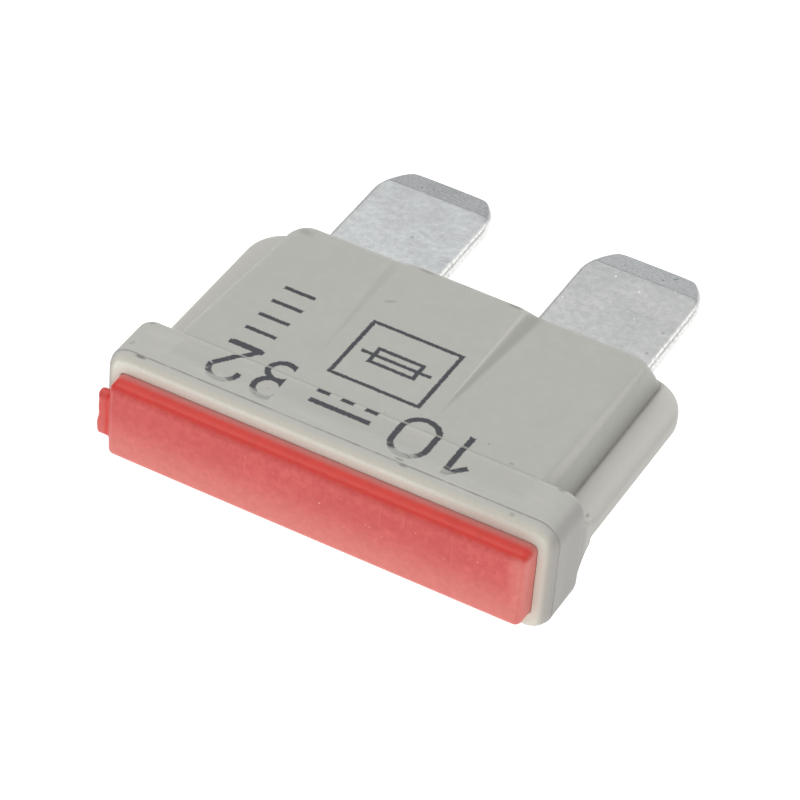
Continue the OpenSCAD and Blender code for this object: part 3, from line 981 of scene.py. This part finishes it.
def dirt_and_shade_amount(f, bend, cloud, flange_only, ramp, across):
    # Painted shade in the corners, with a little dirt
    dirt_and_shade = bend.between(-0.12, -0.9) * (0.3 + 0.5 * cloud)
    # The ramps: brownish dirt and painted shade, darker on the right ramp
    ramp_dirt_and_shade = abs(across).between(1.35, 0.2) * f.z.between(1.6, 1.8) * ramp.between(-0.05, 0.25)
    dirt_and_shade = dirt_and_shade.most(ramp_dirt_and_shade * f.x.between(-3, 3).between(-0.4, 1) * (0.15 + 0.18 * cloud))
    # Painted shade on the block's side walls, darker towards the flange
    groove = abs(f.x).between(7.7, 8.2) * f.z.between(1.7, 0.7) * f.y.between(2.4, 3.0)
    dirt_and_shade = dirt_and_shade.most(groove * (1.0 - flange_only) * 0.2)
    broken = f.noise(0.9, 4, 0.65).between(0.35, 0.65)
    dirt_and_shade = dirt_and_shade.most(abs(f.y - RIM_R).between(0.05, 0.01) * (0.12 + 0.4 * broken))
    dirt_and_shade = dirt_and_shade.most(f.specks(1.7, 0.07, 0.22) * 0.4)
    for x, y, radius, stretch, turn, strength in SMUDGES:
        dirt_and_shade = dirt_and_shade.most(f.mark(x, y, radius, stretch, turn) * f.z.between(1.5, 1.8) * strength)
    return dirt_and_shade


print(f"{len(SMUDGES)} smudges on the broad face")

# %% [markdown]
# The layers go on in this order: plastic with its painted light, rub with painted highlight, dirt with
# painted shade, painted shade on the narrow sides, and the ink on top.

# %% Finish of the housing
INK = (0.034, 0.037, 0.046)


def finish_housing():
    f = Finish(grey_plastic)
    bend = Value(f, f.add("ShaderNodeAttribute", {"attribute_name": "bend"}).outputs["Fac"])
    cloud = f.noise(0.5, 4, 0.6)
    # The flange: painted lighter with painted light, and kept out of the painted shade on the side walls
    flange_only = f.z.between(0.9, 0.6) * abs(f.x).between(8.1, 8.5) * f.y.between(2.6, 3.2)
    ramp, across = ramp_place(f)
    colour = lit_rim_and_flange(f, clean_plastic(f, bend, cloud), flange_only)
    colour = rubbed_and_lit_edges(f, colour, cloud, ramp, across)
    colour = f.mix(dirt_and_shade_amount(f, bend, cloud, flange_only, ramp, across), colour, DIRT_AND_SHADE)
    # Painted shade on the narrow sides of the collar and the flange
    sides = (abs(f.x) - 0.22 * f.y.between(2.4, 2.7)).between(9.05, 9.4)
    colour = f.mix(sides * 0.6, colour, GREY_PAINTED_SHADE)
    colour = f.mix(f.noise(0.13, 3, 0.7).between(0.3, 0.7) * 0.14, colour, GREY_SHADE)
    ink = ink_amount(f)
    colour = f.mix(ink, colour, INK)
    f.set(base_color=colour, roughness=0.5 + 0.16 * f.noise(0.4, 3) - ink * 0.08)
    f.bump((f.noise(0.09, 3, 0.6), 0.004), (f.noise(1.6, 2), 0.02))
    f.report("housing")


finish_housing()

# %% [markdown]
# The cap is a clear red, deepest on its rounded edges. Its front looks frosted and pinker, partly from
# rubbing and partly a painted reflection of the bright tent, and painted light makes it palest along the
# lower edge and the right end. It has tiny pale specks and a few fine scratches. The flat beside the rim is
# painted pinker too, duller and with a painted reflection, so that only the rounded edge between them stays
# clear.

# %% Finish of the cap
RED_CLEAR = (0.66, 0.024, 0.012)
RED_EDGE = (0.56, 0.018, 0.012)
RED_FROSTED_AND_LIT = (0.59, 0.07, 0.07)
RED_CLOUDED = (0.70, 0.12, 0.105)
RED_DEEP = (0.57, 0.07, 0.065)
RED_DULL_AND_SHEEN = (0.66, 0.24, 0.22)
RED_PALE = (0.79, 0.275, 0.235)
RED_SPOT = (0.25, 0.0, 0.01)
PALE_SPECKS = [
    # x, z, radius, strength
    (0.4, 0.41, 0.07, 1.0), (2.36, 0.28, 0.05, 0.8), (2.53, 0.27, 0.06, 0.7), (3.05, 0.07, 0.06, 0.6),
    (4.41, 0.91, 0.06, 0.5), (5.63, 0.23, 0.05, 0.5), (6.99, 0.77, 0.07, 0.5), (4.11, -1.11, 0.06, 0.45),
    (-2.81, 1.08, 0.05, 0.5), (1.25, 1.03, 0.05, 0.4), (-1.02, 1.31, 0.05, 0.4),
]


def frosted_and_lit_red(f, cloudy):
    frosted_and_lit = f.mix(cloudy.between(0.3, 0.7), RED_FROSTED_AND_LIT, RED_CLOUDED)
    frosted_and_lit = f.mix(f.noise(1.8, 3).between(0.35, 0.7) * 0.5, frosted_and_lit, RED_DEEP)
    # Painted light: paler towards the lower edge and at the right end, with some rubbing
    rubbed_and_lit = f.z.between(0.9, -1.7) * (0.45 + 0.5 * cloudy)
    rubbed_and_lit = rubbed_and_lit.most(f.x.between(8.0, 8.8) * (0.4 + 0.5 * cloudy))
    return f.mix(rubbed_and_lit, frosted_and_lit, RED_PALE)


def finish_cap():
    f = Finish(red_plastic)
    front = f.y.between(-CAP_PROUD + 0.24, -CAP_PROUD + 0.04)
    front = front.most(f.x.between(8.45, 8.8) * f.z.between(1.75, 1.4) * 0.9)
    front = front.most(f.x.between(-8.9, -9.1) * 0.7)
    cloudy = f.noise(0.3, 5, 0.7)
    colour = f.mix(f.noise(0.6, 3).between(0.35, 0.7) * 0.5, RED_CLEAR, RED_EDGE)
    # The flat beside the rim: duller, with a painted reflection of the bright tent
    colour = f.mix((f.y + 0.1 * cloudy).between(-0.4, 0.05), colour, RED_DULL_AND_SHEEN)
    # The front: frosted, with a painted reflection of the bright tent
    colour = f.mix(front * 0.9, colour, frosted_and_lit_red(f, cloudy))
    pale = f.specks(0.5, 0.05, 0.35) * 0.4 * front
    for x, z, radius, strength in PALE_SPECKS:
        pale = pale.most(f.mark(x, 0, radius, third=z) * front * strength)
    scratch = f.noise(0.05, 2, stretch=(1, 1, 30)).between(0.66, 0.74) * front * 0.3
    colour = f.mix(pale.most(scratch), colour, RED_PALE)
    colour = f.mix(f.mark(5.54, 0, 0.07, third=-1.6) * 0.8, colour, RED_SPOT)
    f.set(base_color=colour, roughness=0.42 + 0.05 * front + 0.1 * cloudy * front)
    f.bump((f.noise(0.12, 4, 0.7), 0.005), (f.noise(0.9, 3), 0.015))
    f.report("cap")


finish_cap()

# %% [markdown]
# The blades are tinned zinc: bright, but clouded by countless fine scratches and by the grain of the
# plating. The coined bevels are smoother and pitted with small dark spots, and a painted dark line marks the
# crease where they start. Metal shows its surroundings, so most of this finish is in how rough it is; its
# colour adds a painted highlight along the long edges, a painted reflection on the right bevels and small
# painted glints.

# %% Finish of the plated metal
TIN = (0.60, 0.62, 0.625)
TIN_DULL = (0.40, 0.41, 0.415)
TIN_WARM = (0.54, 0.53, 0.505)
TIN_BRIGHT = (0.78, 0.775, 0.745)
TIN_COINED = (0.74, 0.765, 0.775)
TIN_GLINT = (0.97, 0.97, 0.95)
TIN_PIT = (0.16, 0.18, 0.2)
BEVEL_Y = TIP_Y - BEVEL_LEN


def coined_bevel(f, colour, bevel, edge_highlight):
    # The right blade's bevel is painted lighter: a painted reflection
    coined = f.noise(0.13, 4, 0.8).between(0.4, 0.62) * 0.75 + f.x.between(0, 3) * 0.5
    colour = f.mix(bevel * coined, colour, TIN_COINED)
    # A painted dark line along the crease where the bevel starts
    crease = abs(f.y - BEVEL_Y).between(0.06, 0.01) * (1.0 - edge_highlight)
    return f.mix(crease * f.noise(0.5, 3).between(0.35, 0.65) * 0.4, colour, TIN_PIT)


def finish_metal():
    f = Finish(plated)
    grain = f.noise(0.3, 5, 0.6)
    clouds = f.noise(1.4, 3, 0.6)
    bevel = f.y.between(BEVEL_Y - 0.02, BEVEL_Y + 0.06)
    # The long edges of the blades, which get a painted highlight broken up by noise
    edge_highlight = abs(abs(f.x) - BLADE_PITCH / 2).between(BLADE_W / 2 - 0.25, BLADE_W / 2 - 0.15)
    edge_highlight = edge_highlight * (0.35 + 0.65 * f.noise(0.12, 3, 0.7).between(0.38, 0.56))
    lines = f.noise(0.05, 2, 0.5, (1, 26, 1), 62).between(0.6, 0.7)
    lines = lines.most(f.noise(0.05, 2, 0.5, (1, 18, 1), -58).between(0.62, 0.72))
    dull = grain.between(0.3, 0.7) * 0.45 + clouds.between(0.3, 0.7) * 0.35
    colour = f.mix(dull, f.mix(f.x.between(-2, 3) * 0.5, TIN, TIN_WARM), TIN_DULL)
    colour = f.mix(lines * 0.3 * (1.0 - bevel), colour, TIN_BRIGHT)
    colour = coined_bevel(f, colour, bevel, edge_highlight)
    colour = f.mix(f.noise(0.07, 3, 0.8).between(0.3, 0.7) * 0.3, colour, TIN_DULL)
    colour = f.mix(f.specks(0.6, 0.06, 0.25) * 0.9, colour, TIN_GLINT)
    # Painted highlight along the long edges
    colour = f.mix(edge_highlight * 0.8, colour, TIN_BRIGHT)
    pits = (f.specks(0.4, 0.07, 0.3) * bevel).most(f.specks(1.1, 0.1, 0.2) * 0.6)
    colour = f.mix(pits * 0.75, colour, TIN_PIT)
    f.set(base_color=colour, metallic=1.0, roughness=0.32 + 0.14 * grain - 0.1 * edge_highlight)
    f.bump((grain, 0.008), (lines, 0.002), (clouds, 0.012))
    f.report("metal")


finish_metal()

# %% [markdown]
# A fuse has no moving parts, so every piece rides on the one body. Each piece takes the place of the solid
# that it dresses, and carries that solid's finish.

# %% Ride, replace and hand out the finishes
DRESSED = (
    (housing_piece, "housing", "housing_plastic"),
    (cap_piece, "end_cap", "cap_plastic"),
    (blades_piece, "fuse_element", "plated_metal"),
    (link_piece, "fuse_element", "plated_metal"),
)
for piece, node, slot in DRESSED:
    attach(piece, "root")
    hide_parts(node)

for piece, material in ((housing_piece, grey_plastic), (cap_piece, red_plastic)):
    piece.data.materials.append(material)
for name, material in (("housing", grey_plastic), ("end_cap", red_plastic), ("fuse_element", plated)):
    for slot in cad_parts[name].material_slots:
        slot.material = material
print("dressed:", ", ".join(f"{node} by {piece.name}" for piece, node, slot in DRESSED))

# %% [markdown]
# The camera looks down on the fuse from the cap's side, a little from the right. A long lens from some
# fifteen centimetres away flattens the perspective, as in a catalogue picture.

# %% Camera
AZIMUTH = math.radians(25.531)
ELEVATION = math.radians(40.637)
ROLL = math.radians(5.021)
DISTANCE = 156.78
LENS = 182.68
AIM = Vector((0, 9, 0))
AIM_RIGHT, AIM_UP = -1.454, -1.512

flat = math.cos(ELEVATION)
back = Vector((math.sin(AZIMUTH) * flat, -math.cos(AZIMUTH) * flat, math.sin(ELEVATION)))
level = Vector((math.cos(AZIMUTH), math.sin(AZIMUTH), 0))
upright = back.cross(level)
right = level * math.cos(ROLL) + upright * math.sin(ROLL)
up = upright * math.cos(ROLL) - level * math.sin(ROLL)
eye = AIM + right * AIM_RIGHT + up * AIM_UP + back * DISTANCE
camera = bpy.data.objects.new("camera", bpy.data.cameras.new("camera"))
camera.data.lens = LENS
camera.data.sensor_width = 36
camera.data.clip_start = 0.01
turn = Matrix((right, up, back)).transposed().to_4x4()
camera.matrix_world = Matrix.Translation(to_frame(np.array(eye))) @ turn
bpy.context.scene.collection.objects.link(camera)
bpy.context.scene.camera = camera
print(f"camera at {[round(v, 1) for v in eye]} with a lens of {LENS}")

# %% [markdown]
# The light is a white tent: bright above, brighter still behind the fuse on the right, and dim near the
# horizon and on both sides behind the camera. Those dim parts draw the dark lines along the blades' edges
# and keep the cap's rounded edges a deep red. A low bright patch behind the camera lights the cap's front.

# %% Light
world = bpy.data.worlds.new("light_tent")
bpy.context.scene.world = world
world.use_nodes = True
tent = Tree(world.node_tree)
direction = tent.add("ShaderNodeTexCoord").outputs["Generated"]
LOW_LIGHT = 0.42
HIGH_LIGHT = 0.8
TENT = [
    # azimuth, elevation, how closely it starts, how closely it is full, light added, share taken away
    (38, 28, 0.9, 0.98, 1.3, 0.0),
    (95, 8, 0.3, 0.9, 0.0, 0.55),
    (-155, 32, 0.72, 0.94, 0.0, 0.7),
    (154, 43, 0.8, 0.96, 0.0, 0.5),
    (178, 20, 0.55, 0.97, 0.7, 0.0),
]


def towards(azimuth, elevation):
    """How closely a direction points to a place in the tent, from -1 to 1. Azimuth 0 is along +Y."""
    a, e = math.radians(azimuth), math.radians(elevation)
    aim = (math.sin(a) * math.cos(e), math.cos(a) * math.cos(e), math.sin(e))
    node = tent.add("ShaderNodeVectorMath", {"operation": "DOT_PRODUCT"}, in_0=direction, in_1=aim)
    return Value(tent, node.outputs["Value"])


height = Value(tent, tent.add("ShaderNodeSeparateXYZ", vector=direction).outputs["Z"])
brightness = LOW_LIGHT + HIGH_LIGHT * height.between(0.35, 1.0)
for azimuth, elevation, starts, full, added, taken in TENT:
    brightness = brightness + towards(azimuth, elevation).between(starts, full) * (added - brightness * taken)
tent.fill(world.node_tree.nodes["Background"].inputs["Strength"], brightness)
world.node_tree.nodes["Background"].inputs["Color"].default_value = (1, 1, 1, 1)

SOFTBOX_SIZE = 0.25
SOFTBOX_POWER = 0.25
SOFTBOX_PLACE = (-0.12, 0.1, 0.3)
softbox = bpy.data.objects.new("softbox", bpy.data.lights.new("softbox", "AREA"))
softbox.data.size = SOFTBOX_SIZE
softbox.data.energy = SOFTBOX_POWER
softbox.location = SOFTBOX_PLACE
softbox.rotation_euler = (Vector((0, 0, 0)) - softbox.location).to_track_quat("-Z", "Y").to_euler()
bpy.context.scene.collection.objects.link(softbox)
print(f"tent with {len(TENT)} bright or dim places and a soft box of {SOFTBOX_SIZE} m")

# %% [markdown]
# The floor is white paper. It glows a little, as paper on a light table does, so that it fades into the
# background and the fuse throws hardly a shadow.

# %% Floor
FLOOR_R = 0.3
PAPER_GREY = 0.5
PAPER_GLOW = 0.85
bpy.ops.mesh.primitive_circle_add(vertices=96, radius=FLOOR_R, fill_type="NGON")
floor = bpy.context.object
floor.name = "floor"
paper = bpy.data.materials.new("white_paper")
paper.use_nodes = True
paper_tree = Tree(paper.node_tree)
paper_shader = paper.node_tree.nodes["Principled BSDF"]
paper_tree.fill(paper_shader.inputs["Base Color"], (PAPER_GREY, PAPER_GREY, PAPER_GREY, 1))
paper_tree.fill(paper_shader.inputs["Roughness"], 0.9)
paper_tree.fill(paper_shader.inputs["Emission Color"], (1, 1, 1, 1))
paper_tree.fill(paper_shader.inputs["Emission Strength"], PAPER_GLOW)
floor.data.materials.append(paper)
print(f"floor of {FLOOR_R} m radius")

# %% [markdown]
# At the end the view transform is set to Standard.

# %% Set the view transform
bpy.context.scene.view_settings.view_transform = "Standard"
